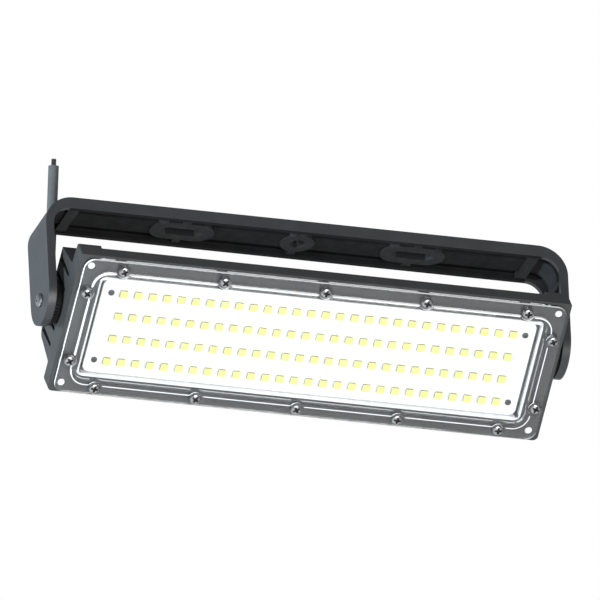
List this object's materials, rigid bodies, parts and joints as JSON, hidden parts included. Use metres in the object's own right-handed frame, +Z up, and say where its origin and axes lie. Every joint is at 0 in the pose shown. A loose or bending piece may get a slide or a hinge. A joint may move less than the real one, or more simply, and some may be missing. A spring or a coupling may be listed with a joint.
{
  "type": "led flood light",
  "caption": "Long, flat LED flood light: a finned lamp head with a clear screwed-down cover that tilts between the arms of a cast U-shaped mounting bracket.",
  "frame": {"origin": "centre of the bracket's flat top face, on the axis of its centre hole", "axes": "+X along the lamp and its tilt axis, +Y to the rear, +Z up out of the bracket's top face; the lamp head is drawn 34.17 degrees forward of straight down"},
  "size_m": [0.3684, 0.1229, 0.1815],
  "materials": {
    "bracket_coat": "satin dark grey powder coat on cast aluminium",
    "housing_coat": "satin dark grey powder coat on die-cast aluminium",
    "disc_metal": "dark grey coated cast metal",
    "steel": "bright stainless steel",
    "black_steel": "black oxide steel",
    "clear_cover": "clear moulded polycarbonate",
    "led_board": "white solder mask with yellow phosphor LEDs",
    "thermal_pad": "grey thermal pad",
    "silicone": "dark grey silicone",
    "white_nylon": "white nylon",
    "black_nylon": "dark nylon",
    "rubber": "black rubber",
    "wire_red": "red wire insulation",
    "wire_black": "black wire insulation",
    "cable_sheath": "grey rubber sheath",
    "cable_core": "tinned copper strands"
  },
  "bodies": {
    "bracket": {"bracket": "bracket_coat"},
    "lamp": {"housing": "housing_coat", "lens_gasket": "silicone", "lens_cover": "clear_cover", "led_board": "led_board", "thermal_pad": "thermal_pad", "cover_screw_01": "steel", "cover_screw_02": "steel", "cover_screw_03": "steel", "cover_screw_04": "steel", "cover_screw_05": "steel", "cover_screw_06": "steel", "cover_screw_07": "steel", "cover_screw_08": "steel", "cover_screw_09": "steel", "cover_screw_10": "steel", "cover_screw_11": "steel", "cover_screw_12": "steel", "cover_screw_13": "steel", "cover_screw_14": "steel", "board_screw_1": "black_steel", "board_screw_2": "black_steel", "board_screw_3": "black_steel", "board_screw_4": "black_steel", "corner_plug_1": "white_nylon", "corner_plug_2": "white_nylon", "corner_plug_3": "white_nylon", "corner_plug_4": "white_nylon", "pivot_bolt_left": "steel", "pivot_bolt_right": "steel", "toothed_disc_left": "disc_metal", "toothed_disc_right": "disc_metal", "gland_body": "black_nylon", "gland_nut": "black_nylon", "gland_seal": "rubber", "lead_wire_positive": "wire_red", "lead_wire_negative": "wire_black", "power_cable": "cable_sheath", "cable_core": "cable_core"}
  },
  "joints": [
    {"name": "tilt", "type": "hinge", "parent": "bracket", "child": "lamp", "pos_m": [0, 0, -0.06839], "axis": [1, 0, 0], "range_deg": [-56, 34]}
  ]
}
